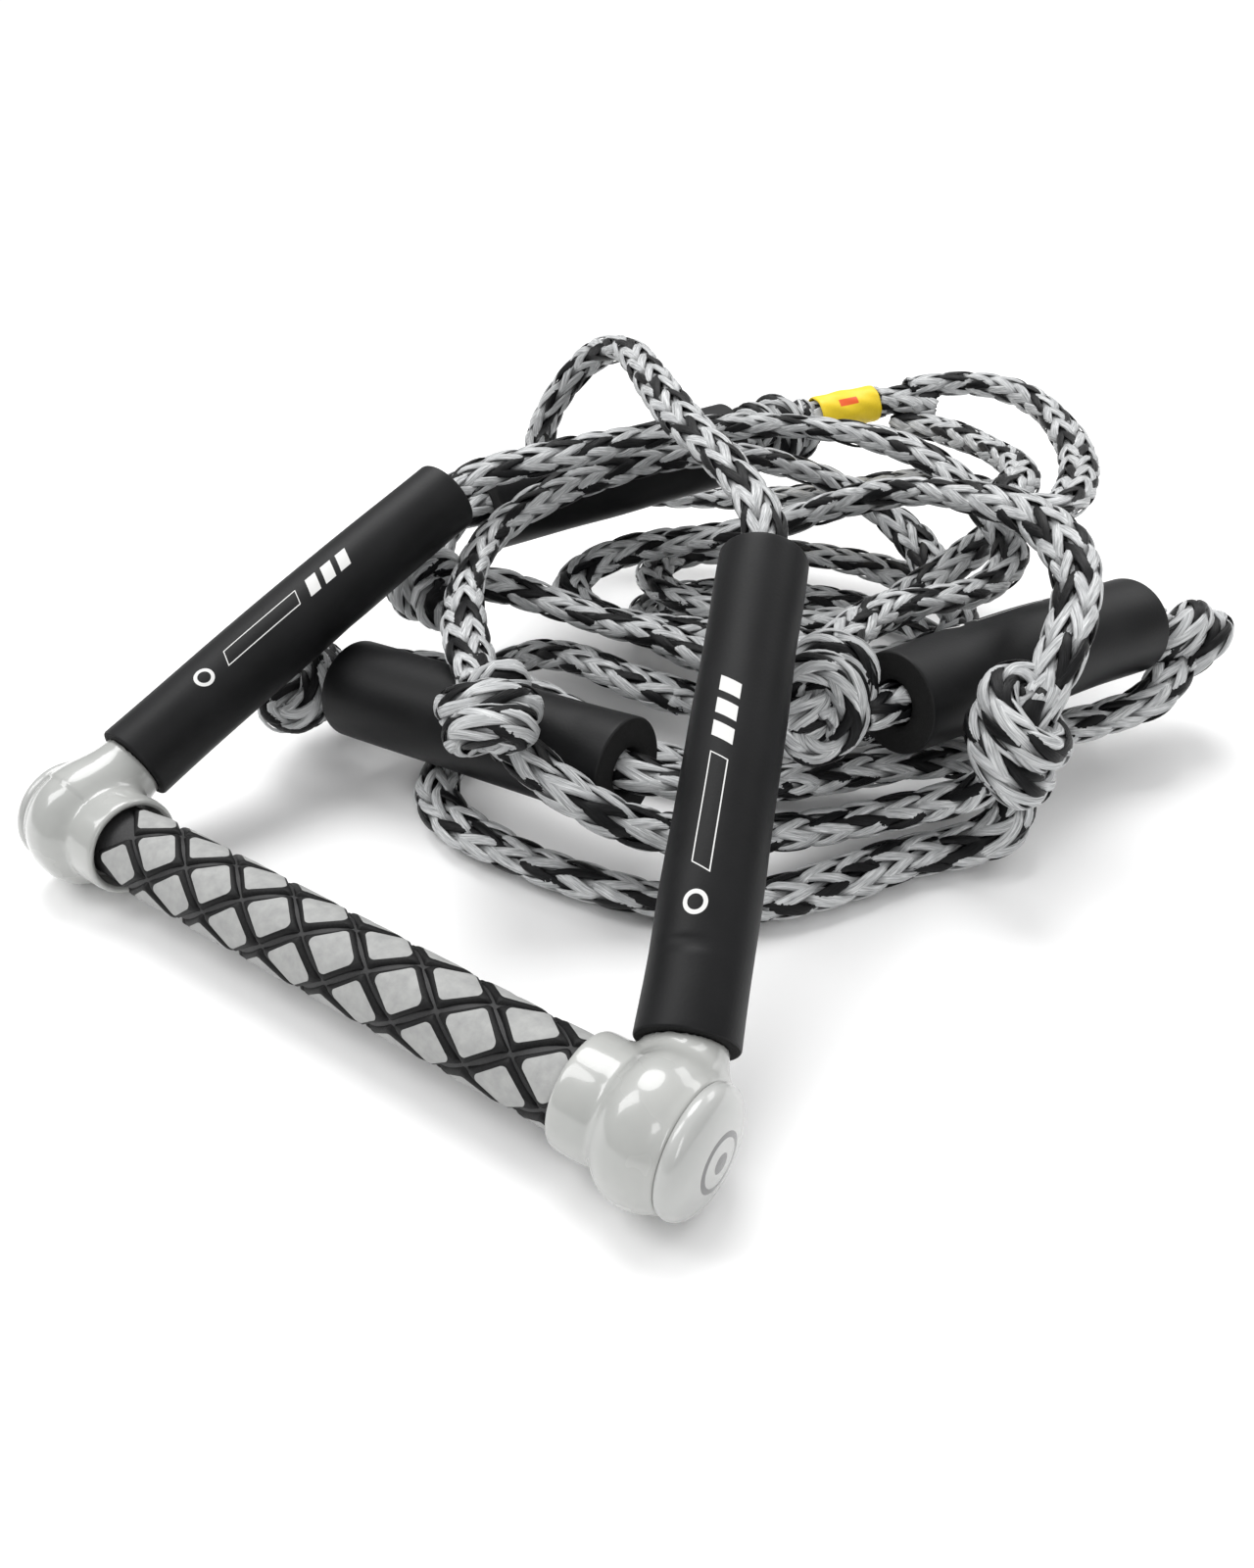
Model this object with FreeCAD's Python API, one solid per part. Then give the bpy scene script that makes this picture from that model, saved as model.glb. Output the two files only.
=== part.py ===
import FreeCAD, Part
import math
import os

# Tow rope handle for surfing and wakeboarding, lying with its floating rope heaped behind it.
# Millimetres.  Origin: on the floor under the middle of the bar.  +X along the bar to the right
# end cap, +Y towards the heap of rope, +Z up.  Every sub-part is written to parts/NODE.step.

Vector = FreeCAD.Vector

# ---------------------------------------------------------------- driving dimensions, handle
BAR_TUBE_OD = 22.2
BAR_TUBE_WALL = 1.6
PLUG_LENGTH = 16.0
PLUG_FLANGE = 1.5
PLUG_STEP = 0.6
CORE_TO_PLUG = 3.0

GRIP_SHOWN = 200.0
GRIP_INSERT = 11.0
TUBE_INSERT = 14.0
GRIP_WALL = 1.9
PAD_HEIGHT = 1.6
PAD_SINK = 0.2
PAD_PITCH = 28.5
PADS_PER_RING = 4
GROOVE_WIDTH = 4.4

COLLAR_WALL = 3.05
COLLAR_LENGTH = 11.0
COLLAR_ROUND = 1.2
WAIST_DEPTH = 0.8
WAIST_LENGTH = 2.0
BALL_RADIUS = 22.5
BALL_OFFSET = 25.0
CAP_END_OFFSET = 36.0
CAP_WALL = 4.5
CAP_RIM_WALL = 4.1
DISC_SETBACK = 0.2
DISC_GAP = 0.8
DISC_RIM = 4.2
DISC_DOME = 4.6
DISC_SPIGOT_LENGTH = 2.0
DISC_SPIGOT_WALL = 1.9
DISC_RECESS_DEPTH = 3.0

BUSH_WALL = 2.6
BUSH_FLARE = 1.4
BUSH_TOP_FLARE = 1.0
BUSH_NECK_LENGTH = 7.0
BUSH_INNER_REACH = 10.0
BUSH_TO_FLOAT = 1.0
STOPPER_PROUD = 0.95
STOPPER_BACK = 26.0

GLUE_GAP = 0.05
SLIDE_GAP = 0.3
BORE_GAP = 0.5

# ---------------------------------------------------------------- driving dimensions, rope
LINE_RADIUS = 8.0
BRIDLE_RADIUS = 7.25
KNOT_RADIUS = 20.0
BRIDLE_FLOAT_OD = 31.0
BRIDLE_FLOAT_LENGTH = 174.0
LINE_FLOAT_OD = 40.0
LINE_FLOAT_LENGTH = 136.0
LINE_FLOAT_BORE_GAP = 1.2
FLOAT_EDGE = 1.2
LABEL_WALL = 1.1
LABEL_LENGTH = 33.0
LABEL_START = 12.0
SPLICE_RADIUS = 14.5
ARC_SHARE = 0.45

# ---------------------------------------------------------------- worked-out handle sizes
BAR_RADIUS = BAR_TUBE_OD / 2
BAR_BORE_RADIUS = BAR_RADIUS - BAR_TUBE_WALL
AXIS_HEIGHT = BALL_RADIUS
SLEEVE_INNER = BAR_RADIUS + GLUE_GAP
SLEEVE_OUTER = SLEEVE_INNER + GRIP_WALL
PAD_OUTER = SLEEVE_OUTER + PAD_HEIGHT
COLLAR_BORE = PAD_OUTER + SLIDE_GAP
COLLAR_RADIUS = COLLAR_BORE + COLLAR_WALL
WAIST_RADIUS = COLLAR_RADIUS - WAIST_DEPTH
MOUTH_X = GRIP_SHOWN / 2
GRIP_END_X = MOUTH_X + GRIP_INSERT
TUBE_END_X = MOUTH_X + TUBE_INSERT
CORE_END_X = TUBE_END_X - PLUG_LENGTH - CORE_TO_PLUG
BALL_X = MOUTH_X + BALL_OFFSET
CAP_END_X = MOUTH_X + CAP_END_OFFSET
CAVITY_RADIUS = BALL_RADIUS - CAP_WALL
CAP_END_RADIUS = math.sqrt(BALL_RADIUS ** 2 - (CAP_END_OFFSET - BALL_OFFSET) ** 2)
DISC_OPENING_RADIUS = CAP_END_RADIUS - CAP_RIM_WALL
DISC_RADIUS = CAP_END_RADIUS - DISC_SETBACK
DISC_RECESS_RADIUS = DISC_OPENING_RADIUS - DISC_SPIGOT_WALL
ROPE_BORE = BRIDLE_RADIUS + GLUE_GAP
STOPPER_RADIUS = BRIDLE_RADIUS + STOPPER_PROUD

# ---------------------------------------------------------------- rope routes, chosen by hand
# A bridle leg starts inside its end cap, leaves the ball at its outlet and runs straight up the
# middle of its float towards the first point of its route.
LEG_START = 24.0
FLOAT_DROP = 3.0
LEFT_OUTLET_WAY = Vector(0, 25, 15.5)
LEFT_OUTLET_REACH = BALL_RADIUS + 6.9
RIGHT_OUTLET_WAY = Vector(-7, 26, 10)
RIGHT_OUTLET_REACH = BALL_RADIUS + 6.2

LEFT_LEG = [
    (-111, 201, 99.5), (-92, 228, 103), (-72, 262, 106), (-52, 300, 106), (-24, 333, 104),
    (14, 348, 101), (48, 343, 96), (76, 330, 84), (97, 312, 76), (98, 284, 70), (87, 250, 74),
    (74, 220, 80), (80, 178, 80),
]
RIGHT_LEG = [
    (50.7, 178, 121.9), (22, 197, 131), (-19, 224, 135), (-57, 257, 140), (-88, 286, 141),
    (-117, 297, 130), (-135, 288, 106), (-152, 296, 78), (-160, 325, 52), (-130, 360, 38),
    (-88, 392, 36), (-40, 402, 46), (2, 420, 58), (45, 408, 66), (74, 372, 68), (68, 330, 60),
    (56, 298, 50), (60, 258, 54), (58, 216, 60), (72, 180, 63),
]
# Main line, from the bridle knot to the tow eye.
LINE_1 = [(94.5, 171.7, 60.6), (153.6, 333, 53.3)]
LINE_2 = [
    (166, 338, 44), (172, 305, 34), (153, 284, 26), (133, 262, 22), (111, 240, 20), (90, 212, 16),
    (64, 190, 12), (30, 176, 10), (-10, 169, 14), (-46, 166, 25), (-82, 162, 27), (-110, 156, 25),
    (-132, 142, 26), (-140, 121, 29),
]
LINE_3 = [
    (-113, 115, 34.1), (42, 117, 43.2), (58, 127, 40), (70, 146, 35), (79, 168, 29), (91, 190, 28),
    (108, 212, 28), (127, 222, 28), (142, 216, 24), (146, 202, 14), (134, 190, 8.6), (119, 172, 8.6),
    (107, 145, 8.6), (88, 114, 8.6), (60, 97, 8.6), (28, 90, 8.6), (-5, 89, 8.6), (-36, 92, 8.6),
    (-56, 106, 8.6),
    (-66, 132, 8.6), (-84, 158, 8.6), (-98, 184, 10), (-88, 206, 18), (-56, 204, 26), (-20, 198, 26),
    (12, 207, 22), (42, 222, 16), (68, 240, 11), (84, 275, 9), (80, 318, 9), (50, 352, 9),
    (5, 362, 9), (-42, 348, 9), (-76, 318, 10), (-78, 282, 12), (-50, 258, 14), (-10, 254, 14),
    (30, 266, 18), (60, 286, 24), (76, 318, 27), (62, 352, 27), (24, 370, 27), (-20, 370, 27),
    (-60, 350, 27), (-84, 318, 28), (-76, 286, 30), (-42, 268, 32), (-4, 270, 34), (32, 282, 36),
    (54, 306, 38), (56, 336, 42), (36, 360, 48), (6, 372, 58), (-16, 366, 68), (-36, 345, 80),
    (-58, 313, 90), (-71, 290, 92), (-84, 262, 90), (-94.5, 234, 85), (-102, 202, 75), (-89, 170, 69),
    (-65, 140, 68), (-38, 114, 69), (-16, 96, 70),
]
LINE_3_CUTS = (24, 48)
LINE_4 = [
    (2, 86, 64), (10, 86, 57), (28, 85, 50), (49, 96, 36), (66, 120, 25), (84, 148, 19),
    (104, 172, 20), (122, 187, 25), (140, 190, 37), (144, 190, 50),
]
LINE_5 = [
    (148.5, 196, 69), (151, 208, 83), (146, 236, 96), (136, 256, 103), (116, 276, 106), (92, 286, 106),
    (60, 298, 100), (36, 302, 92), (14, 300, 82), (-10, 288, 70), (-45, 284, 58), (-80, 284, 46),
    (-98, 266, 38), (-92, 240, 34), (-60, 230, 32), (-20, 236, 34), (20, 254, 38), (52, 250, 38),
    (64, 226, 40), (44, 208, 41), (8, 210, 42), (-20, 216, 42), (-45, 213, 42), (-77, 209, 46),
    (-103, 200, 52), (-113, 191, 51.5),
]
LINE_6 = [(-128, 188, 56), (-137.8, 206.3, 71.2), (-62, 374.2, 82.3)]
LINE_7 = [(-50, 382, 90), (-21, 419, 95)]
EYE = [
    (-12, 431, 100), (3, 444, 103), (28, 448, 105), (56, 436, 104), (82, 408, 99), (99, 376, 97),
    (109, 340, 97), (112, 312, 98), (99.5, 304.5, 99), (87, 312, 98.5), (86, 338, 97),
    (76, 364, 94), (56, 388, 91), (30, 410, 88), (6, 422, 86), (-12, 424, 86),
]

KNOTS = {
    "bridle_knot": (82, 168, 66),
    "line_knot_1": (166, 338, 44),
    "line_knot_2": (-129, 109, 30.4),
    "line_knot_3": (-4, 86, 70),
    "line_knot_4": (147, 190, 62),
    "line_knot_5": (-124, 180, 53),
    "line_knot_6": (-60, 377, 83),
}
# Each line float: a point at the middle of its bore, and the way the rope runs through it.
LINE_FLOATS = {
    "line_float_1": ((124, 252.5, 57), (48, 131, -6)),
    "line_float_2": ((-35.5, 116, 38.65), (155, 2, 9.1)),
    "line_float_3": ((-99.9, 290.25, 76.75), (75.8, 167.9, 11.1)),
}
EYE_SPLICE_CENTRE = (-14, 424, 93)

LEFT_OUTLET = Vector(-BALL_X, 0, AXIS_HEIGHT) + LEFT_OUTLET_WAY.normalize() * LEFT_OUTLET_REACH
RIGHT_OUTLET = Vector(BALL_X, 0, AXIS_HEIGHT) + RIGHT_OUTLET_WAY.normalize() * RIGHT_OUTLET_REACH
LEFT_AIM = (Vector(*LEFT_LEG[0]) - LEFT_OUTLET).normalize()
RIGHT_AIM = (Vector(*RIGHT_LEG[0]) - RIGHT_OUTLET).normalize()

os.makedirs("parts", exist_ok=True)
parts = {}


def unit(vector):
    return Vector(vector).multiply(1.0 / vector.Length)


def points(values):
    return [Vector(*value) for value in values]


# ---------------------------------------------------------------- simple solids
def x_cylinder(radius, start_x, end_x):
    return Part.makeCylinder(radius, end_x - start_x, Vector(start_x, 0, AXIS_HEIGHT), Vector(1, 0, 0))


def cylinder_along(radius, start, direction, length):
    return Part.makeCylinder(radius, length, start, direction)


def turned_over(shape):
    """The same piece at the other end of the bar: half a turn about the upright axis."""
    copy = shape.copy()
    copy.rotate(Vector(0, 0, 0), Vector(0, 0, 1), 180)
    return copy


def foam_tube(outer_radius, bore_radius, start, direction, length):
    """A float: a thick tube of closed-cell foam with slightly eased rims."""
    body = cylinder_along(outer_radius, start, direction, length)
    rims = [edge for edge in body.Edges if edge.Length > outer_radius and len(edge.Vertexes) == 1]
    body = body.makeFillet(FLOAT_EDGE, rims)
    return body.cut(cylinder_along(bore_radius, start - direction, direction, length + 2))


# ---------------------------------------------------------------- rope tubes
def rope_edges(name, route):
    """Straight runs joined by tangent arcs, each arc as large as its two runs allow."""
    edges = []
    radii = []
    start = route[0]
    runs = [(route[i + 1] - route[i]).Length for i in range(len(route) - 1)]
    for i in range(1, len(route) - 1):
        before = unit(route[i] - route[i - 1])
        after = unit(route[i + 1] - route[i])
        turn = before.getAngle(after)
        reach = ARC_SHARE * min(runs[i - 1], runs[i])
        arc_radius = reach / math.tan(turn / 2)
        arc_start = route[i] - before * reach
        arc_end = route[i] + after * reach
        inward = unit(after - before)
        middle = route[i] + inward * (arc_radius / math.cos(turn / 2) - arc_radius)
        edges.append(Part.LineSegment(start, arc_start).toShape())
        edges.append(Part.Arc(arc_start, middle, arc_end).toShape())
        start = arc_end
        radii.append(round(arc_radius))
    edges.append(Part.LineSegment(start, route[-1]).toShape())
    print(name, "arc radii", radii)
    return edges


def rope_tube(name, edges, radius):
    first = edges[0]
    start = first.valueAt(first.FirstParameter)
    heading = first.tangentAt(first.FirstParameter)
    section = Part.Wire([Part.makeCircle(radius, start, heading)])
    tube = Part.Wire(edges).makePipeShell([section], True, False)
    length = sum(edge.Length for edge in edges)
    expected = math.pi * radius ** 2 * length
    print(name, "length", round(length), "volume ratio", round(tube.Volume / expected, 4))
    return tube


def rope(name, route, radius):
    parts[name] = rope_tube(name, rope_edges(name, points(route)), radius)


def rope_in_lengths(names, route, cuts, radius):
    """One route made as several tubes that meet face to face in the middle of a straight run."""
    edges = rope_edges(names[0], points(route))
    stretches = []
    current = []
    for index, edge in enumerate(edges):
        if index in [2 * cut for cut in cuts]:
            a = edge.valueAt(edge.FirstParameter)
            b = edge.valueAt(edge.LastParameter)
            middle = (a + b) * 0.5
            current.append(Part.LineSegment(a, middle).toShape())
            stretches.append(current)
            current = [Part.LineSegment(middle, b).toShape()]
        else:
            current.append(edge)
    stretches.append(current)
    for name, stretch in zip(names, stretches):
        parts[name] = rope_tube(name, stretch, radius)


# ---------------------------------------------------------------- bar, core and plugs
def build_bar():
    tube = x_cylinder(BAR_RADIUS, -TUBE_END_X, TUBE_END_X)
    parts["handle_tube"] = tube.cut(x_cylinder(BAR_BORE_RADIUS, -TUBE_END_X - 1, TUBE_END_X + 1))
    core_radius = BAR_BORE_RADIUS - GLUE_GAP
    parts["foam_core"] = x_cylinder(core_radius, -CORE_END_X, CORE_END_X)
    shank = x_cylinder(core_radius, TUBE_END_X - PLUG_LENGTH, TUBE_END_X + GLUE_GAP)
    flange = x_cylinder(BAR_RADIUS - PLUG_STEP, TUBE_END_X + GLUE_GAP, TUBE_END_X + PLUG_FLANGE)
    plug = shank.fuse(flange).removeSplitter()
    parts["tube_plug_right"] = plug
    parts["tube_plug_left"] = turned_over(plug)


# ---------------------------------------------------------------- grip
def build_grip():
    sleeve = x_cylinder(SLEEVE_OUTER, -GRIP_END_X, GRIP_END_X)
    parts["grip_sleeve"] = sleeve.cut(x_cylinder(SLEEVE_INNER, -GRIP_END_X - 1, GRIP_END_X + 1))
    parts["grip_pads"] = Part.makeCompound(grip_pads())


def grip_pads():
    """Raised diamonds on a lattice: rings of four, every other ring turned by half a step."""
    cell_half_length = PAD_PITCH / 2
    cell_half_width = math.pi * PAD_OUTER / PADS_PER_RING
    edge_distance = cell_half_length * cell_half_width / math.hypot(cell_half_length, cell_half_width)
    share = 1 - GROOVE_WIDTH / 2 / edge_distance
    half_length = cell_half_length * share
    half_width = cell_half_width * share
    corners = [(half_length, 0), (0, half_width), (-half_length, 0), (0, -half_width)]
    outline = [Vector(x, y, AXIS_HEIGHT) for x, y in corners + corners[:1]]
    prism = Part.Face(Part.makePolygon(outline)).extrude(Vector(0, 0, 2 * PAD_OUTER))
    shell = x_cylinder(PAD_OUTER, -half_length - 1, half_length + 1)
    shell = shell.cut(x_cylinder(SLEEVE_OUTER - PAD_SINK, -half_length - 2, half_length + 2))
    pad = shell.common(prism).Solids[0]
    half_step = 180.0 / PADS_PER_RING
    rings = int(2 * GRIP_END_X / PAD_PITCH)
    pads = []
    for half_ring in range(-rings, rings + 1):
        offset = 0.5 * half_ring * PAD_PITCH
        if abs(offset) + half_length > GRIP_END_X:
            continue
        for step in range(PADS_PER_RING):
            copy = pad.copy()
            copy.rotate(Vector(0, 0, AXIS_HEIGHT), Vector(1, 0, 0), (2 * step + half_ring % 2) * half_step)
            copy.translate(Vector(offset, 0, 0))
            pads.append(copy)
    return pads


# ---------------------------------------------------------------- end caps
def cap_shell():
    """Right-hand end cap: collar, waist and ball, hollow, with its outer end open for the disc."""
    mouth = x_cylinder(COLLAR_RADIUS, MOUTH_X, MOUTH_X + COLLAR_LENGTH)
    waist_start = MOUTH_X + COLLAR_LENGTH
    waist = x_cylinder(WAIST_RADIUS, waist_start, waist_start + WAIST_LENGTH + 1)
    ball = Part.makeSphere(BALL_RADIUS, Vector(BALL_X, 0, AXIS_HEIGHT))
    keep = x_cylinder(2 * BALL_RADIUS, waist_start + WAIST_LENGTH, CAP_END_X)
    body = mouth.fuse(waist).fuse(ball.common(keep)).removeSplitter()
    rim = [edge for edge in body.Edges if abs(edge.BoundBox.XMax - MOUTH_X) + edge.BoundBox.XLength < 0.01]
    body = body.makeFillet(COLLAR_ROUND, rim)
    body = body.cut(x_cylinder(COLLAR_BORE, MOUTH_X - 1, GRIP_END_X + SLIDE_GAP))
    body = body.cut(x_cylinder(BAR_RADIUS + GLUE_GAP, GRIP_END_X, TUBE_END_X + GLUE_GAP))
    cavity = Part.makeSphere(CAVITY_RADIUS, Vector(BALL_X, 0, AXIS_HEIGHT))
    cavity = cavity.common(x_cylinder(2 * BALL_RADIUS, TUBE_END_X, CAP_END_X + 1))
    body = body.cut(cavity)
    return body.cut(x_cylinder(DISC_OPENING_RADIUS, BALL_X, CAP_END_X + 1))


def cap_disc():
    """Domed end disc that plugs the open end of a cap."""
    start = CAP_END_X + DISC_GAP
    shoulder = start + DISC_RIM
    dome_radius = (DISC_RADIUS ** 2 + DISC_DOME ** 2) / (2 * DISC_DOME)
    plate = x_cylinder(DISC_RADIUS, start, shoulder)
    dome = Part.makeSphere(dome_radius, Vector(shoulder + DISC_DOME - dome_radius, 0, AXIS_HEIGHT))
    dome = dome.common(x_cylinder(DISC_RADIUS, shoulder, shoulder + 2 * DISC_DOME))
    body = plate.fuse(dome).removeSplitter()
    spigot = x_cylinder(DISC_OPENING_RADIUS - GLUE_GAP, start - DISC_SPIGOT_LENGTH, start)
    recess = x_cylinder(DISC_RECESS_RADIUS, start - DISC_SPIGOT_LENGTH - 1, start + DISC_RECESS_DEPTH)
    return body.fuse(spigot).removeSplitter().cut(recess)


def rope_bush(outlet, aim):
    """Moulded bush that lines a cap's rope outlet and ends in a short flared neck."""
    barrel_radius = ROPE_BORE + BUSH_WALL
    start = outlet - aim * BUSH_INNER_REACH
    end = outlet - aim * (FLOAT_DROP + BUSH_TO_FLOAT)
    neck_start = end - aim * BUSH_NECK_LENGTH
    length = (end - start).Length
    barrel = cylinder_along(barrel_radius, start, aim, length)
    neck = Part.makeCone(
        barrel_radius + BUSH_FLARE, barrel_radius + BUSH_TOP_FLARE, BUSH_NECK_LENGTH, neck_start, aim)
    ball = Part.makeSphere(BALL_RADIUS + GLUE_GAP, Vector(BALL_X, 0, AXIS_HEIGHT))
    collar = x_cylinder(COLLAR_RADIUS + GLUE_GAP, MOUTH_X, MOUTH_X + COLLAR_LENGTH + WAIST_LENGTH)
    body = barrel.fuse(neck.cut(ball).cut(collar)).removeSplitter()
    return body.cut(cylinder_along(ROPE_BORE, start - aim, aim, length + 2))


def build_end(side, outlet, aim):
    """One end of the bar, built at +X; the left one is then given half a turn."""
    place = turned_over if side == "left" else (lambda shape: shape)
    if side == "left":
        outlet = Vector(-outlet.x, -outlet.y, outlet.z)
        aim = Vector(-aim.x, -aim.y, aim.z)
    hole_radius = ROPE_BORE + BUSH_WALL + GLUE_GAP
    hole = cylinder_along(hole_radius, outlet - aim * BUSH_INNER_REACH, aim, BUSH_INNER_REACH + 2)
    hole = hole.fuse(cylinder_along(BRIDLE_RADIUS + SLIDE_GAP, outlet - aim * LEG_START, aim, LEG_START))
    bridle_float = foam_tube(
        BRIDLE_FLOAT_OD / 2, BRIDLE_RADIUS + BORE_GAP, outlet - aim * FLOAT_DROP, aim, BRIDLE_FLOAT_LENGTH)
    parts["end_cap_" + side] = place(cap_shell().cut(hole))
    parts["end_disc_" + side] = place(cap_disc())
    parts["rope_bush_" + side] = place(rope_bush(outlet, aim))
    parts["stopper_knot_" + side] = place(Part.makeSphere(STOPPER_RADIUS, outlet - aim * STOPPER_BACK))
    parts["bridle_float_" + side] = place(bridle_float)


def build_handle():
    build_bar()
    build_grip()
    build_end("right", RIGHT_OUTLET, RIGHT_AIM)
    build_end("left", LEFT_OUTLET, LEFT_AIM)


# ---------------------------------------------------------------- rope, knots, floats, label
def build_line_floats():
    for name, (middle, way) in LINE_FLOATS.items():
        along = unit(Vector(*way))
        start = Vector(*middle) - along * (LINE_FLOAT_LENGTH / 2)
        parts[name] = foam_tube(
            LINE_FLOAT_OD / 2, LINE_RADIUS + LINE_FLOAT_BORE_GAP, start, along, LINE_FLOAT_LENGTH)


def build_label():
    start, end = points(LINE_7)
    along = unit(end - start)
    outer = LINE_RADIUS + GLUE_GAP + LABEL_WALL
    sleeve = cylinder_along(outer, start + along * LABEL_START, along, LABEL_LENGTH)
    bore = cylinder_along(LINE_RADIUS + GLUE_GAP, start, along, LABEL_START + LABEL_LENGTH + 1)
    parts["label_sleeve"] = sleeve.cut(bore)


def build_rope():
    left_start = LEFT_OUTLET - LEFT_AIM * LEG_START
    right_start = RIGHT_OUTLET - RIGHT_AIM * LEG_START
    rope("bridle_rope_left", [left_start] + LEFT_LEG, BRIDLE_RADIUS)
    rope("bridle_rope_right", [right_start] + RIGHT_LEG, BRIDLE_RADIUS)
    rope("line_section_1", LINE_1, LINE_RADIUS)
    rope("line_section_2", LINE_2, LINE_RADIUS)
    names = ["line_section_3_front", "line_section_3_coil", "line_section_3_rear"]
    rope_in_lengths(names, LINE_3, LINE_3_CUTS, LINE_RADIUS)
    rope("line_section_4", LINE_4, LINE_RADIUS)
    rope("line_section_5", LINE_5, LINE_RADIUS)
    rope("line_section_6", LINE_6, LINE_RADIUS)
    rope("line_section_7", LINE_7, LINE_RADIUS)
    rope("eye_loop", EYE, LINE_RADIUS)
    for name, centre in KNOTS.items():
        parts[name] = Part.makeSphere(KNOT_RADIUS, Vector(*centre))
    parts["eye_splice"] = Part.makeSphere(SPLICE_RADIUS, Vector(*EYE_SPLICE_CENTRE))


build_handle()
build_line_floats()
build_rope()
build_label()
for node, shape in parts.items():
    shape.exportStep("parts/" + node + ".step")
print(len(parts), "nodes written")
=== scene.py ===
import math
import bpy
import numpy as np
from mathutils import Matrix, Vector


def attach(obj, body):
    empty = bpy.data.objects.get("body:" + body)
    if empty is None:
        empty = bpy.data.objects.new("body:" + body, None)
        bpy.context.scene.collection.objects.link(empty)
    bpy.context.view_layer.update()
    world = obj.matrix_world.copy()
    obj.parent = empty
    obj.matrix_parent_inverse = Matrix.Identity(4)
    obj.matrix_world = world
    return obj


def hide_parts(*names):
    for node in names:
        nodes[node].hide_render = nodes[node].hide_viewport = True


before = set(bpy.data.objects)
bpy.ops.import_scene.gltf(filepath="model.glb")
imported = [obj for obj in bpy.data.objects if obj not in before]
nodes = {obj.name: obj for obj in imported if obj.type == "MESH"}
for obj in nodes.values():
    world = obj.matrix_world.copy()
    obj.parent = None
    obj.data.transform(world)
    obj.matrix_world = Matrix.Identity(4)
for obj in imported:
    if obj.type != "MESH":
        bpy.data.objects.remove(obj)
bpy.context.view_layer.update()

# Tow rope handle with its floating rope in a heap.  Metres, in the CAD frame.
HOME = "handle_and_rope"
rng = np.random.default_rng(7)

# ------------------------------------------------------------------ rope routes, in metres
# Each list holds the control points of one cord, as in the CAD source.  Where a long straight run ends in a
# tight corner, one more point on the run, close to the corner, keeps the spline from cutting it.
LEFT_OUTLET = np.array((-0.125, 0.025, 0.038))
LEFT_AIM = np.array((0.013, 0.163, 0.057))
RIGHT_OUTLET = np.array((0.118, 0.026, 0.0325))
RIGHT_AIM = np.array((-0.062, 0.14, 0.0825))
LEG_START = 0.024
LEFT_LEG = [
    (-0.1135, 0.17, 0.0887), (-0.111, 0.201, 0.0995), (-0.092, 0.228, 0.103), (-0.072, 0.262, 0.106),
    (-0.052, 0.3, 0.106), (-0.024, 0.333, 0.104), (0.014, 0.348, 0.101), (0.048, 0.343, 0.096),
    (0.076, 0.33, 0.084), (0.097, 0.312, 0.076), (0.098, 0.284, 0.07), (0.087, 0.25, 0.074),
    (0.074, 0.22, 0.08), (0.08, 0.178, 0.08),
]
RIGHT_LEG = [
    (0.0636, 0.149, 0.1048), (0.0507, 0.178, 0.1219), (0.022, 0.197, 0.131), (-0.019, 0.224, 0.135),
    (-0.057, 0.257, 0.14), (-0.088, 0.286, 0.141), (-0.117, 0.297, 0.13), (-0.135, 0.288, 0.106),
    (-0.152, 0.296, 0.078), (-0.16, 0.325, 0.052), (-0.13, 0.36, 0.038), (-0.088, 0.392, 0.036),
    (-0.04, 0.402, 0.046), (0.002, 0.42, 0.058), (0.045, 0.408, 0.066), (0.074, 0.372, 0.068),
    (0.068, 0.33, 0.06), (0.056, 0.298, 0.05), (0.06, 0.258, 0.054), (0.058, 0.216, 0.06),
    (0.072, 0.18, 0.063),
]
LINE_1 = [(0.0945, 0.1717, 0.0606), (0.124, 0.2524, 0.057), (0.1536, 0.333, 0.0533)]
LINE_2 = [
    (0.166, 0.338, 0.044), (0.172, 0.305, 0.034), (0.153, 0.284, 0.026), (0.133, 0.262, 0.022),
    (0.111, 0.24, 0.02), (0.09, 0.212, 0.016), (0.064, 0.19, 0.012), (0.03, 0.176, 0.01),
    (-0.01, 0.169, 0.014), (-0.046, 0.166, 0.025), (-0.082, 0.162, 0.027), (-0.11, 0.156, 0.025),
    (-0.132, 0.142, 0.026), (-0.14, 0.121, 0.029),
]
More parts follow.
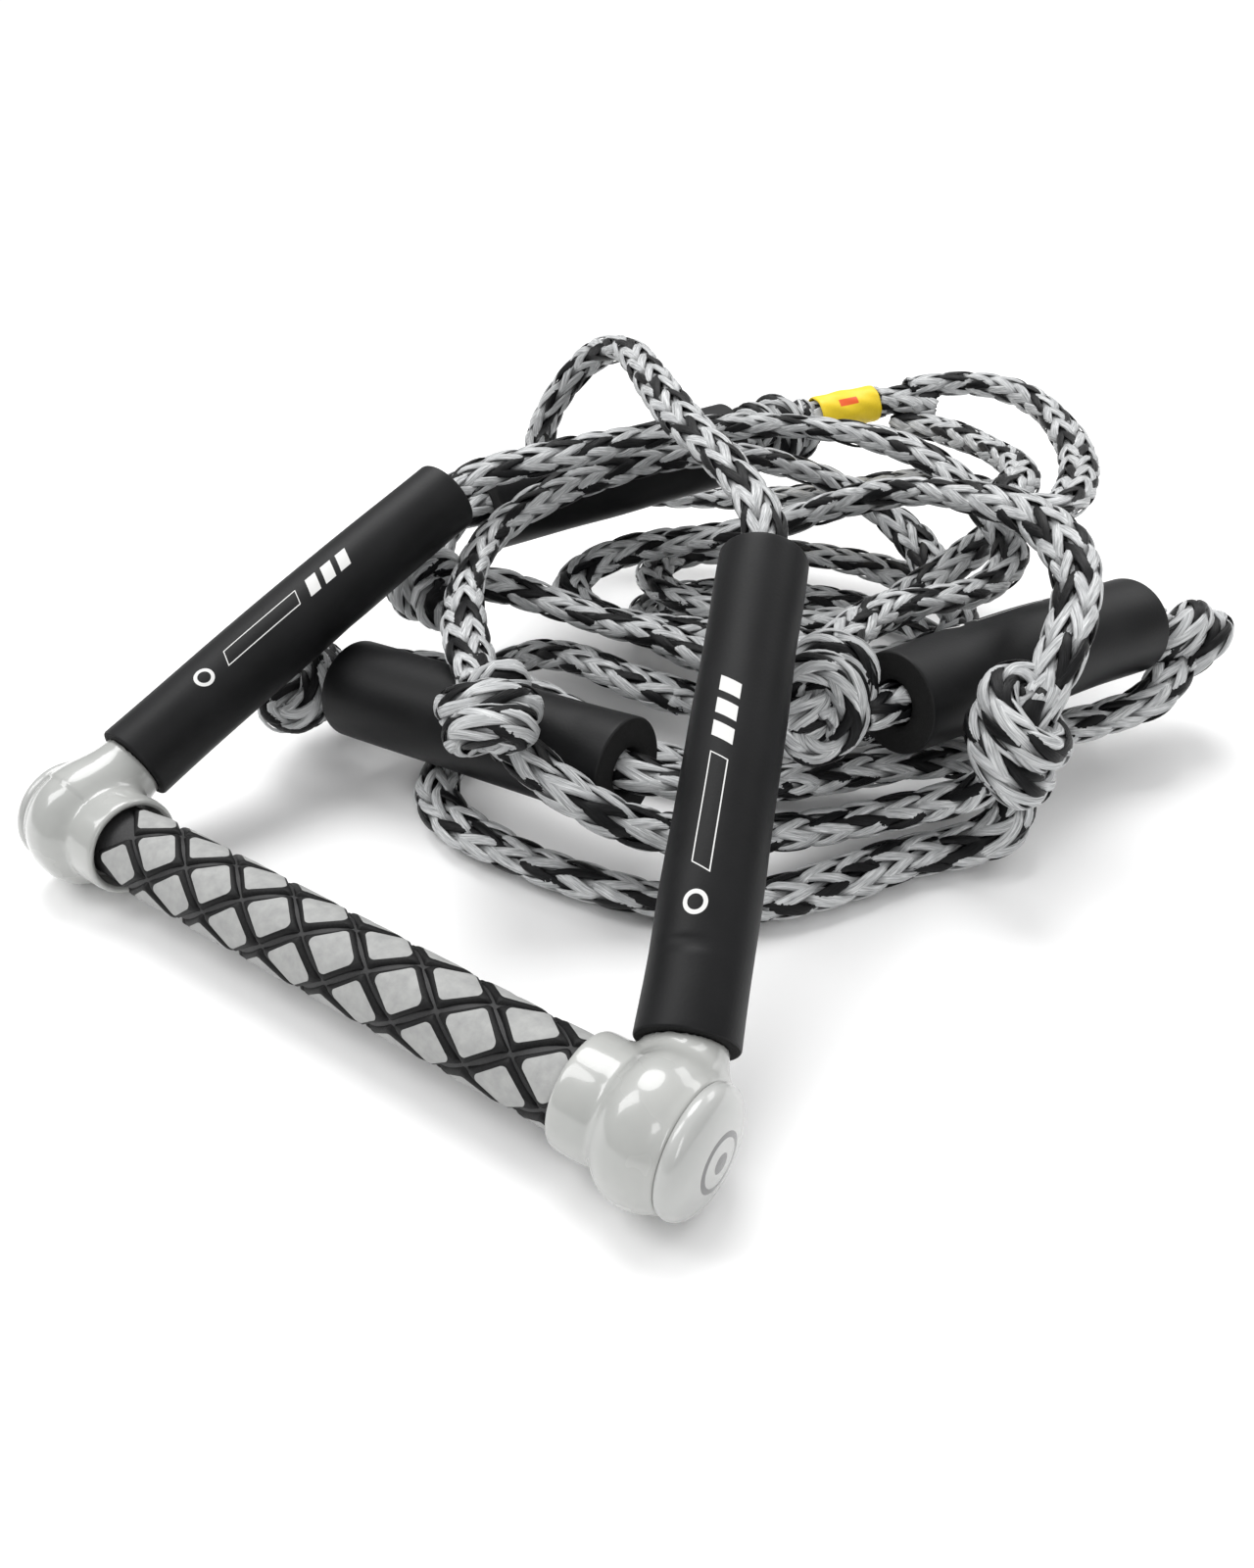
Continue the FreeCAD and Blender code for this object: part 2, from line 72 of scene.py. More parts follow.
LINE_3 = [
    (-0.113, 0.115, 0.0341), (0.023, 0.1168, 0.0421), (0.042, 0.117, 0.0432), (0.058, 0.127, 0.04),
    (0.07, 0.146, 0.035), (0.079, 0.168, 0.029), (0.091, 0.19, 0.028), (0.108, 0.212, 0.028),
    (0.127, 0.222, 0.028), (0.142, 0.216, 0.024), (0.146, 0.202, 0.014), (0.134, 0.19, 0.0086),
    (0.119, 0.172, 0.0086), (0.107, 0.145, 0.0086), (0.088, 0.114, 0.0086), (0.06, 0.097, 0.0086),
    (0.028, 0.09, 0.0086), (-0.005, 0.089, 0.0086), (-0.036, 0.092, 0.0086), (-0.056, 0.106, 0.0086),
    (-0.066, 0.132, 0.0086), (-0.084, 0.158, 0.0086), (-0.098, 0.184, 0.01), (-0.088, 0.206, 0.018),
    (-0.056, 0.204, 0.026), (-0.02, 0.198, 0.026), (0.012, 0.207, 0.022), (0.042, 0.222, 0.016),
    (0.068, 0.24, 0.011), (0.084, 0.275, 0.009), (0.08, 0.318, 0.009), (0.05, 0.352, 0.009),
    (0.005, 0.362, 0.009), (-0.042, 0.348, 0.009), (-0.076, 0.318, 0.01), (-0.078, 0.282, 0.012),
    (-0.05, 0.258, 0.014), (-0.01, 0.254, 0.014), (0.03, 0.266, 0.018), (0.06, 0.286, 0.024),
    (0.076, 0.318, 0.027), (0.062, 0.352, 0.027), (0.024, 0.37, 0.027), (-0.02, 0.37, 0.027),
    (-0.06, 0.35, 0.027), (-0.084, 0.318, 0.028), (-0.076, 0.286, 0.03), (-0.042, 0.268, 0.032),
    (-0.004, 0.27, 0.034), (0.032, 0.282, 0.036), (0.054, 0.306, 0.038), (0.056, 0.336, 0.042),
    (0.036, 0.36, 0.048), (0.006, 0.372, 0.058), (-0.016, 0.366, 0.068), (-0.036, 0.345, 0.08),
    (-0.058, 0.313, 0.09), (-0.071, 0.29, 0.092), (-0.084, 0.262, 0.09), (-0.0945, 0.234, 0.085),
    (-0.102, 0.202, 0.075), (-0.089, 0.17, 0.069), (-0.065, 0.14, 0.068), (-0.038, 0.114, 0.069),
    (-0.016, 0.096, 0.07),
]
# Where along line 3 its front part ends and its rear part starts.
LINE_3_SHARES = (0.3595, 0.786)
LINE_4 = [
    (0.002, 0.086, 0.064), (0.01, 0.086, 0.057), (0.028, 0.085, 0.05), (0.049, 0.096, 0.036),
    (0.066, 0.12, 0.025), (0.084, 0.148, 0.019), (0.104, 0.172, 0.02), (0.122, 0.187, 0.025),
    (0.14, 0.19, 0.037), (0.144, 0.19, 0.05),
]
LINE_5 = [
    (0.1485, 0.196, 0.069), (0.151, 0.208, 0.083), (0.146, 0.236, 0.096), (0.136, 0.256, 0.103),
    (0.116, 0.276, 0.106), (0.092, 0.286, 0.106), (0.06, 0.298, 0.1), (0.036, 0.302, 0.092),
    (0.014, 0.3, 0.082), (-0.01, 0.288, 0.07), (-0.045, 0.284, 0.058), (-0.08, 0.284, 0.046),
    (-0.098, 0.266, 0.038), (-0.092, 0.24, 0.034), (-0.06, 0.23, 0.032), (-0.02, 0.236, 0.034),
    (0.02, 0.254, 0.038), (0.052, 0.25, 0.038), (0.064, 0.226, 0.04), (0.044, 0.208, 0.041),
    (0.008, 0.21, 0.042), (-0.02, 0.216, 0.042), (-0.045, 0.213, 0.042), (-0.077, 0.209, 0.046),
    (-0.103, 0.2, 0.052), (-0.113, 0.191, 0.0515),
]
LINE_6 = [
    (-0.128, 0.188, 0.056), (-0.1378, 0.2063, 0.0712), (-0.1288, 0.2262, 0.0725),
    (-0.062, 0.3742, 0.0823),
]
LINE_7 = [(-0.05, 0.382, 0.09), (-0.0355, 0.4005, 0.0925), (-0.021, 0.419, 0.095)]
EYE = [
    (-0.012, 0.431, 0.1), (0.003, 0.444, 0.103), (0.028, 0.448, 0.105), (0.056, 0.436, 0.104),
    (0.082, 0.408, 0.099), (0.099, 0.376, 0.097), (0.109, 0.34, 0.097), (0.112, 0.312, 0.098),
    (0.0995, 0.3045, 0.099), (0.087, 0.312, 0.0985), (0.086, 0.338, 0.097), (0.076, 0.364, 0.094),
    (0.056, 0.388, 0.091), (0.03, 0.41, 0.088), (0.006, 0.422, 0.086), (-0.012, 0.424, 0.086),
]
# The eye's throat, which the CAD source makes as one round piece.
SPLICE = [
    (-0.0225, 0.4172, 0.0948), (-0.014, 0.4268, 0.0950), (-0.006, 0.4335, 0.0950), (0.002, 0.4372, 0.0948),
]

AXIS_HEIGHT = 0.0225
BALL_X = 0.125

# A float's foam: where it starts from the point on its axis, its length, its outer radius and its bore's.
BRIDLE_FOAM = (-0.003, 0.174, 0.0155, 0.00775)
LINE_FOAM = (-0.068, 0.136, 0.020, 0.0092)
# Each float: a point on its axis, the axis's direction, and the foam's measures.
FLOATS = {
    "bridle_float_left": (LEFT_OUTLET, LEFT_AIM, BRIDLE_FOAM),
    "bridle_float_right": (RIGHT_OUTLET, RIGHT_AIM, BRIDLE_FOAM),
    "line_float_1": ((0.124, 0.2525, 0.057), (0.048, 0.131, -0.006), LINE_FOAM),
    "line_float_2": ((-0.0355, 0.116, 0.03865), (0.155, 0.002, 0.0091), LINE_FOAM),
    "line_float_3": ((-0.0999, 0.29025, 0.07675), (0.0758, 0.1679, 0.0111), LINE_FOAM),
}
# Knots: centre, way in, way out, first angle of the wraps, their tilt, band radius.
KNOTS = {
    "bridle_knot": ((0.082, 0.168, 0.066), (0.2, -1.0, -0.1), (0.3, -1.0, -0.35), 0.4, 0.005, 0.0128),
    "line_knot_1": ((0.166, 0.338, 0.044), (0.3, 0.95, -0.1), (0.1, -0.9, -0.3), 2.2, 0.005, 0.0122),
    "line_knot_2": ((-0.129, 0.109, 0.0304), (-0.3, -0.9, 0.2), (1.0, 0.1, 0.1), 1.0, 0.005, 0.0122),
    "line_knot_3": ((-0.004, 0.086, 0.070), (0.6, -0.75, 0.0), (0.7, -0.1, -0.7), 4.0, 0.006, 0.0122),
    "line_knot_4": ((0.147, 0.190, 0.062), (0.1, 0.2, 1.0), (0.1, 0.5, 0.9), 0.3, 0.006, 0.0128),
    "line_knot_5": ((-0.124, 0.180, 0.053), (-0.8, -0.6, 0.0), (-0.4, 0.75, 0.55), 2.6, 0.005, 0.0122),
    "line_knot_6": ((-0.060, 0.377, 0.083), (0.41, 0.9, 0.06), (0.6, 0.75, 0.15), 5.0, 0.005, 0.0122),
}


# ------------------------------------------------------------------ small helpers
def unit(v):
    """The same direction, or directions, one long."""
    v = np.asarray(v, float)
    return v / np.linalg.norm(v, axis=-1, keepdims=True)


def smoothstep(x):
    """From 0 to 1 with a soft start and a soft end."""
    x = np.clip(x, 0, 1)
    return x * x * (3 - 2 * x)


def waves(x, count, low, high, size):
    """Smooth uneven variation along a length, the same on every run."""
    total = np.zeros_like(x)
    for _ in range(count):
        total += np.sin(x * 2 * math.pi / rng.uniform(low, high) + rng.uniform(0, 6.283))
    return size * total / math.sqrt(count)


def make_piece(name, verts, faces, material, body=HOME, points=None):
    """A smooth-shaded piece that rides on a body; points holds its values per point, by attribute name."""
    mesh = bpy.data.meshes.new(name)
    mesh.from_pydata(np.asarray(verts, float).tolist(), [], [list(map(int, f)) for f in faces])
    mesh.polygons.foreach_set("use_smooth", [True] * len(mesh.polygons))
    for key, values in (points or {}).items():
        values = np.asarray(values, np.float32)
        if values.ndim == 2:
            layer = mesh.attributes.new(key, "FLOAT_VECTOR", "POINT")
            layer.data.foreach_set("vector", values.ravel())
        else:
            layer = mesh.attributes.new(key, "FLOAT", "POINT")
            layer.data.foreach_set("value", values)
    mesh.update()
    mesh.materials.append(material)
    piece = bpy.data.objects.new(name, mesh)
    bpy.context.scene.collection.objects.link(piece)
    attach(piece, body)
    return piece


def grid_faces(rows, columns, first=0):
    """Quads of a tube of rows of points, each row a ring of that many columns."""
    i = np.arange(rows - 1)[:, None]
    j = np.arange(columns)[None, :]
    nxt = (j + 1) % columns
    a = first + i * columns + j
    b = first + i * columns + nxt
    c = first + (i + 1) * columns + nxt
    d = first + (i + 1) * columns + j
    return np.stack([a, b, c, d], -1).reshape(-1, 4)


# ------------------------------------------------------------------ materials
class Shade:
    """A material under construction: its nodes, and short ways to add to them."""

    def __init__(self, name):
        self.material = bpy.data.materials.new(name)
        self.material.use_nodes = True
        self.nodes = self.material.node_tree.nodes
        self.links = self.material.node_tree.links
        self.shader = self.nodes["Principled BSDF"]

    def put(self, target, value):
        if isinstance(value, bpy.types.NodeSocket):
            self.links.new(value, target)
        else:
            target.default_value = value

    def math(self, operation, a, b=0.0, clamp=False):
        node = self.nodes.new("ShaderNodeMath")
        node.operation = operation
        node.use_clamp = clamp
        for socket, value in zip(node.inputs, (a, b)):
            self.put(socket, value)
        return node.outputs[0]

    def near(self, value, centre, half):
        """1 where the value is within half of the centre, else 0."""
        return self.math("LESS_THAN", self.math("ABSOLUTE", self.math("SUBTRACT", value, centre)), half)

    def distance(self, x, y):
        """How far x, y is from the origin."""
        return self.math("SQRT", self.math("ADD", self.math("MULTIPLY", x, x), self.math("MULTIPLY", y, y)))

    def stretched(self, x, y, z, along_x, along_y):
        """A vector for noise, with its first two parts scaled."""
        return self.vector(self.math("MULTIPLY", x, along_x), self.math("MULTIPLY", y, along_y), z)

    def attribute(self, name):
        node = self.nodes.new("ShaderNodeAttribute")
        node.attribute_name = name
        return node

    def place(self):
        return self.nodes.new("ShaderNodeTexCoord").outputs["Object"]

    def parts(self, vector):
        node = self.nodes.new("ShaderNodeSeparateXYZ")
        self.links.new(vector, node.inputs[0])
        return node.outputs

    def vector(self, x, y, z):
        node = self.nodes.new("ShaderNodeCombineXYZ")
        for socket, value in zip(node.inputs, (x, y, z)):
            self.put(socket, value)
        return node.outputs[0]

    def noise(self, vector, scale, detail=2.0, rough=0.5):
        node = self.nodes.new("ShaderNodeTexNoise")
        self.links.new(vector, node.inputs["Vector"])
        node.inputs["Scale"].default_value = scale
        node.inputs["Detail"].default_value = detail
        node.inputs["Roughness"].default_value = rough
        return node.outputs["Fac"]

    def ramp(self, fac, low, high, first=0.0, second=1.0):
        node = self.nodes.new("ShaderNodeMapRange")
        self.put(node.inputs["Value"], fac)
        node.inputs["From Min"].default_value = low
        node.inputs["From Max"].default_value = high
        node.inputs["To Min"].default_value = first
        node.inputs["To Max"].default_value = second
        return node.outputs["Result"]

    def mix(self, fac, a, b):
        node = self.nodes.new("ShaderNodeMix")
        node.data_type = "RGBA"
        self.put(node.inputs[0], fac)
        self.put(node.inputs[6], a)
        self.put(node.inputs[7], b)
        return node.outputs[2]

    def bump(self, height, strength, distance):
        node = self.nodes.new("ShaderNodeBump")
        node.inputs["Strength"].default_value = strength
        node.inputs["Distance"].default_value = distance
        self.links.new(height, node.inputs["Height"])
        return node.outputs[0]

    def set(self, **values):
        for key, value in values.items():
            self.put(self.shader.inputs[key.replace("_", " ")], value)
        return self.material


def rope_material():
    """Shiny multifilament ribbons, silver or black, with fine filaments along each; painted glints and
    painted shade among the silver's filaments, and painted shade where a ribbon dips under and on its edges.
    """
    s = Shade("braided_rope")
    across, along, seed = s.parts(s.attribute("fibre").outputs["Vector"])
    fine = s.noise(s.stretched(across, along, seed, 5.0, 0.14), 1.0, 2.0, 0.6)
    strand = s.noise(s.stretched(across, along, seed, 1.9, 0.10), 1.0, 2.0, 0.55)
    broad = s.noise(s.stretched(across, along, seed, 0.35, 0.09), 1.0, 1.0, 0.5)
    streak = s.math("ADD", s.math("MULTIPLY", fine, 0.45), s.math("MULTIPLY", strand, 0.55))
    dye = s.attribute("dye").outputs["Fac"]
    # The filament streaks are the ribbon's own texture, but their darkest colour is painted shade between
    # filaments and their brightest (0.93) is a painted glint.
    silver = s.mix(s.ramp(streak, 0.34, 0.54), (0.20, 0.205, 0.21, 1), (0.60, 0.61, 0.615, 1))
    silver = s.mix(s.ramp(streak, 0.54, 0.70), silver, (0.93, 0.94, 0.94, 1))
    silver = s.mix(s.ramp(broad, 0.40, 0.68, 0.0, 0.35), silver, (0.34, 0.35, 0.36, 1))
    black = s.mix(s.ramp(streak, 0.40, 0.70), (0.001, 0.001, 0.0012, 1), (0.009, 0.0095, 0.011, 1))
    # Painted shade: ribbons darkened towards near-black where they dip under their neighbours, and a little
    # on their edges and underside.
    low = s.attribute("painted_under_shade").outputs["Fac"]
    colour = s.mix(s.math("MULTIPLY", low, 0.85), s.mix(dye, silver, black), (0.008, 0.008, 0.009, 1))
    bump = s.bump(streak, 0.8, 0.00055)
    return s.set(Base_Color=colour, Roughness=s.ramp(streak, 0.35, 0.65, 0.46, 0.30), Normal=bump,
                 Specular_IOR_Level=0.2)


def foam_material():
    """Black closed-cell foam: a skin with a soft sheen, rough where it is cut, with a pale printed mark."""
    s = Shade("black_foam")
    place = s.place()
    skin = s.noise(place, 900, 3.0, 0.6)
    mottle = s.noise(place, 45, 3.0, 0.5)
    cells = s.noise(place, 2200, 2.0, 0.7)
    cut = s.attribute("cut").outputs["Fac"]
    colour = s.mix(s.ramp(mottle, 0.3, 0.7), (0.0050, 0.0051, 0.0056, 1), (0.0085, 0.0087, 0.0095, 1))
    colour = s.mix(cut, colour, s.mix(cells, (0.003, 0.003, 0.003, 1), (0.022, 0.022, 0.022, 1)))
    print_mask = float_print(s)
    colour = s.mix(print_mask, colour, (0.72, 0.72, 0.71, 1))
    rough = s.math("ADD", s.ramp(mottle, 0.3, 0.7, 0.43, 0.50), s.math("MULTIPLY", cut, 0.4), clamp=True)
    open_cells = s.math("MULTIPLY", s.math("MULTIPLY", cells, cut), 2.2)
    height = s.math("ADD", s.math("MULTIPLY", skin, 0.25), open_cells)
    return s.set(Base_Color=colour, Roughness=rough, Normal=s.bump(height, 0.5, 0.0004),
                 Specular_IOR_Level=0.2)


def float_print(s):
    """Generic mark: a ring, a hollow bar and three solid slanted bars in a row, measured in millimetres."""
    along, across, shown = s.parts(s.attribute("mark").outputs["Vector"])
    ring = s.near(s.distance(s.math("SUBTRACT", along, 38.0), across), 3.2, 0.7)
    slanted = s.math("SUBTRACT", along, s.math("MULTIPLY", across, 0.5))
    tall = s.math("ABSOLUTE", across)
    outer = s.math("MULTIPLY", s.near(slanted, 68.0, 19.0), s.math("LESS_THAN", tall, 3.1))
    inner = s.math("MULTIPLY", s.near(slanted, 68.0, 18.6), s.math("LESS_THAN", tall, 2.7))
    hollow = s.math("SUBTRACT", outer, inner)
    step = s.math("FRACT", s.math("DIVIDE", s.math("SUBTRACT", slanted, 92.5), 8.3))
    in_row = s.math("MULTIPLY", s.near(slanted, 104.0, 11.5), s.math("LESS_THAN", tall, 3.6))
    bars = s.math("MULTIPLY", in_row, s.math("LESS_THAN", step, 0.66))
    total = s.math("ADD", s.math("ADD", ring, hollow), bars, clamp=True)
    return s.math("MULTIPLY", total, shown)


def pearl_material():
    """Glossy pearl-grey moulding, faintly cloudy."""
    s = Shade("pearl_white_plastic")
    place = s.place()
    cloud = s.noise(place, 34, 3.0, 0.5)
    colour = s.mix(s.ramp(cloud, 0.3, 0.7), (0.365, 0.372, 0.36, 1), (0.435, 0.44, 0.425, 1))
    return s.set(Base_Color=colour, Roughness=s.ramp(cloud, 0.3, 0.7, 0.24, 0.31), Metallic=0.0,
                 Coat_Weight=0.8, Coat_Roughness=0.05)


def grip_material():
    """Foam rubber: light grey on the pads' tops, black down their bevelled sides and in the grooves."""
    s = Shade("grip_rubber")
    place = s.place()
    grain = s.noise(place, 1500, 3.0, 0.6)
    wear = s.noise(place, 260, 4.0, 0.6)
    top = s.attribute("top").outputs["Fac"]
    edge = s.math("ADD", top, s.math("MULTIPLY", s.math("SUBTRACT", wear, 0.5), 0.10))
    mask = s.ramp(edge, 0.50, 0.56)  # 1 on a pad's top
    pale = s.mix(s.ramp(wear, 0.3, 0.75), (0.31, 0.313, 0.311, 1), (0.40, 0.403, 0.395, 1))
    dark = s.mix(s.ramp(grain, 0.35, 0.7), (0.0015, 0.0015, 0.0017, 1), (0.008, 0.008, 0.0085, 1))
    rough = s.ramp(mask, 0.0, 1.0, 0.55, 0.72)
    return s.set(Base_Color=s.mix(mask, dark, pale), Roughness=rough,
                 Normal=s.bump(grain, 0.3, 0.0003), Specular_IOR_Level=0.22)


def plain_black(name):
    """Dull black for the parts inside."""
    s = Shade(name)
    grain = s.noise(s.place(), 1400, 3.0, 0.6)
    colour = s.mix(grain, (0.006, 0.006, 0.0065, 1), (0.03, 0.03, 0.031, 1))
    return s.set(Base_Color=colour, Roughness=0.6, Normal=s.bump(grain, 0.35, 0.0003))


def disc_material():
    """The caps' pearl with a generic grey print: a ring round a dot."""
    s = Shade("pearl_disc_with_print")
    cloud = s.noise(s.place(), 34, 3.0, 0.5)
    pearl = s.mix(s.ramp(cloud, 0.3, 0.7), (0.385, 0.392, 0.382, 1), (0.455, 0.46, 0.45, 1))
    across, up, _ = s.parts(s.attribute("mark").outputs["Vector"])
    reach = s.distance(across, up)
    ring = s.near(reach, 8.2, 0.9)
    dot = s.math("LESS_THAN", reach, 3.1)
    grey_print = s.math("ADD", ring, dot, clamp=True)
    return s.set(Base_Color=s.mix(grey_print, pearl, (0.055, 0.055, 0.058, 1)), Roughness=0.27,
                 Coat_Weight=0.8, Coat_Roughness=0.05)


def metal_material():
    """Brushed aluminium of the bar's tube."""
    s = Shade("bar_aluminium")
    grain = s.noise(s.place(), 400, 3.0, 0.5)
    return s.set(Base_Color=s.mix(grain, (0.62, 0.63, 0.65, 1), (0.74, 0.75, 0.77, 1)), Metallic=1.0,
                 Roughness=s.ramp(grain, 0.3, 0.7, 0.28, 0.38))


def label_material():
    """Yellow band with a small orange-red patch and a faint woven texture."""
    s = Shade("yellow_band")
    along, across, _ = s.parts(s.attribute("mark").outputs["Vector"])
    weave = s.noise(s.place(), 1600, 2.0, 0.5)
    yellow = s.mix(weave, (0.80, 0.56, 0.004, 1), (0.95, 0.70, 0.012, 1))
    patch = s.math("MULTIPLY", s.near(along, 17.0, 5.5), s.near(across, -6.5, 1.4))
    return s.set(Base_Color=s.mix(patch, yellow, (0.80, 0.10, 0.006, 1)), Roughness=0.48,
                 Normal=s.bump(weave, 0.3, 0.0002))


ROPE = rope_material()
FOAM = foam_material()
PEARL = pearl_material()
GRIP = grip_material()
BLACK = plain_black("moulded_black")
DISC = disc_material()
METAL = metal_material()
LABEL = label_material()


# ------------------------------------------------------------------ rope geometry
def spline_points(points, resolution=20):
    """The points of the smooth spline that a route controls."""
    curve = bpy.data.curves.new("route", "CURVE")
    curve.dimensions = "3D"
    curve.resolution_u = resolution
    spline = curve.splines.new("NURBS")
    spline.points.add(len(points) - 1)
    for point, place in zip(spline.points, points):
        point.co = (float(place[0]), float(place[1]), float(place[2]), 1.0)
    spline.order_u = 3
    spline.use_endpoint_u = True
    holder = bpy.data.objects.new("route", curve)
    mesh = bpy.data.meshes.new_from_object(holder)
    found = np.empty(len(mesh.vertices) * 3)
    mesh.vertices.foreach_get("co", found)
    bpy.data.meshes.remove(mesh)
    bpy.data.objects.remove(holder)
    bpy.data.curves.remove(curve)
    return found.reshape(-1, 3)


def distances(line):
    """How far along the line each of its points is."""
    return np.concatenate([[0], np.cumsum(np.linalg.norm(np.diff(line, axis=0), axis=1))])


def evenly(line, step):
    """The same line with its points evenly spaced; returns them and the distance along."""
    lengths = distances(line)
    keep = np.concatenate([[True], np.diff(lengths) > 1e-9])
    line, lengths = line[keep], lengths[keep]
    count = max(8, int(round(lengths[-1] / step)) + 1)
    s = np.linspace(0, lengths[-1], count)
    return np.stack([np.interp(s, lengths, line[:, k]) for k in range(3)], 1), s


def rope_frames(line, ups=None):
    """Width and thickness directions along a line, turning smoothly towards ups or the vertical."""
    tangent = unit(np.gradient(line, axis=0))
    thick = np.zeros_like(line)
    vertical = np.array((0.0, 0.0, 1.0))
    pull = 0.12 if ups is None else 0.5
    n = None
    for i, t in enumerate(tangent):
        up = vertical if ups is None else ups[i]
        flat = up - t * np.dot(up, t)
        size = np.linalg.norm(flat)
        if n is None:
            n = flat / size if size > 0.2 else unit(np.cross(t, (1, 0, 0)))
        else:
            n = n - t * np.dot(n, t)
            n = n / np.linalg.norm(n)
            if size > 0.3:
                flat = flat / size
                if np.dot(flat, n) < 0:
                    flat = -flat
                n = unit(n * (1 - pull) + flat * pull)
        thick[i] = n
    return np.cross(thick, tangent), thick


RIBBON = 0.00125  # a ribbon's half thickness in a braid of RIBBON_WIDTH
RIBBON_WIDTH = 0.0185
# Across a ribbon and up from its middle, as shares of its half width and half thickness.
RIBBON_PROFILE = np.array([(-1, 0.0), (-0.74, 0.42), (-0.25, 0.60), (0.25, 0.60), (0.74, 0.42), (1, 0.0),
                           (0.5, -0.3), (-0.5, -0.3)])
BORE_FIT = {"bridle_braid": 0.0072, "line_braid": 0.0080}  # the braid's radius where a float's bore rounds it
EASE = 0.012  # how far from a float's foam its rope goes from round to flat
BESIDE = 0.012  # a point further from a float's axis isn't in its bore
WEAVE_RISE = 0.68  # how far a ribbon goes over and under, in ribbon thicknesses
SKIN = 1.4  # how far the weave's middle lies inside the braid's outline, in ribbon thicknesses
COVER = 0.56  # a ribbon's half width as a share of the spacing, so that neighbours close up


def braid(name, line, width, thickness, slot, unit_length=0.0148, strands=10, ups=None,
          swell=None, round_spans=(), seed_turn=0.35, step=0.00185, wobble=1.0):
    """A hollow braid of twice that many ribbons, half each way, each passing over two and under two."""
    line, s = evenly(line, step)
    side, thick = rope_frames(line, ups)
    rows = len(line)
    turn = waves(s, 3, 0.16, 0.42, seed_turn)
    c, w = np.cos(turn)[:, None], np.sin(turn)[:, None]
    side, thick = side * c + thick * w, thick * c - side * w
    flat = np.ones(rows)
    for centre, way, low, high in round_spans:
        at = (line - centre) @ way
        off = np.linalg.norm(line - centre - at[:, None] * way, axis=1)
        inside = smoothstep((at - low + EASE) / EASE) * smoothstep((high + EASE - at) / EASE) * (off < BESIDE)
        flat = flat * (1 - inside)
    ribbon = RIBBON * width / RIBBON_WIDTH
    full_a = (width / 2) * (1 + waves(s, 3, 0.03, 0.11, 0.035 * wobble))
    full_b = (thickness / 2) * (1 + waves(s, 3, 0.03, 0.11, 0.045 * wobble))
    if swell is not None:
        grow_a, grow_b = swell(s / s[-1])
        full_a, full_b = full_a * grow_a, full_b * grow_b
    tight = BORE_FIT[slot]
    a = (full_a * flat + tight * (1 - flat)) - SKIN * ribbon
    b = (full_b * flat + tight * (1 - flat)) - SKIN * ribbon
    around = math.pi * (3 * (a + b) - np.sqrt((3 * a + b) * (a + 3 * b)))
    spacing = around / strands * np.cos(np.arctan2(around / strands, unit_length))
    v = s / unit_length + rng.uniform(0, strands)
    out_share, up_share = RIBBON_PROFILE[None, :, 0], RIBBON_PROFILE[None, :, 1]
    ring = len(RIBBON_PROFILE)
    verts, faces, fibre, dye, painted_under_shade = [], [], [], [], []
    first = 0
    for way in (1, -1):
        for j in range(strands):
            drift = waves(s, 2, 0.02, 0.06, 0.035)
            u = j + way * v + (0 if way == 1 else 0.5) + drift
            phi = 2 * math.pi * u / strands
            cos, sin = np.cos(phi), np.sin(phi)
            lift = np.cos(math.pi * (u - 0.25)) * way
            lift = np.tanh(1.5 * lift) / math.tanh(1.5)
            outward = unit(side * (cos / a)[:, None] + thick * (sin / b)[:, None])
            rise = WEAVE_RISE * ribbon * lift * (1 + waves(s, 2, 0.01, 0.04, 0.10))
            centre = line + side * (a * cos)[:, None] + thick * (b * sin)[:, None] + outward * rise[:, None]
            heading = unit(np.gradient(centre, axis=0))
            across = unit(np.cross(outward, heading))
            crown = np.cross(heading, across)
            half = spacing * COVER * rng.uniform(0.92, 1.10) * (1 + waves(s, 2, 0.008, 0.03, 0.05))
            half = half * (0.74 + 0.26 * np.clip(lift + 0.7, 0, 1))
            ringed = (centre[:, None, :]
                      + across[:, None, :] * (out_share[..., None] * half[:, None, None])
                      + crown[:, None, :] * (up_share[..., None] * ribbon))
            verts.append(ringed.reshape(-1, 3))
            faces.extend(grid_faces(rows, ring, first).tolist())
            faces.append([first + k for k in range(ring)][::-1])
            faces.append([first + (rows - 1) * ring + k for k in range(ring)])
            first += rows * ring
            fibre.append(np.stack([
                (out_share * half[:, None] * 1000).ravel(),
                np.repeat(s * 1000 * 1.4, ring),
                np.full(rows * ring, rng.uniform(0, 90))], 1))
            black = (3 * j + (0 if way == 1 else 2)) % strands < 3
            dye.append(np.full(rows * ring, 1.0 if black else 0.0))
            # Painted shade, strongest where the ribbon dips under the others, with a quarter more on its
            # edges and underside.
            under_shade_amount = np.clip(-lift * 0.9, 0, 1)[:, None] * np.ones(ring) + 0.25 * (up_share < 0.01)
            painted_under_shade.append(np.clip(under_shade_amount, 0, 1).ravel())
    piece = make_piece(name, np.concatenate(verts), faces, ROPE,
                       points={"fibre": np.concatenate(fibre), "dye": np.concatenate(dye),
                               "painted_under_shade": np.concatenate(painted_under_shade)})
    return piece, line


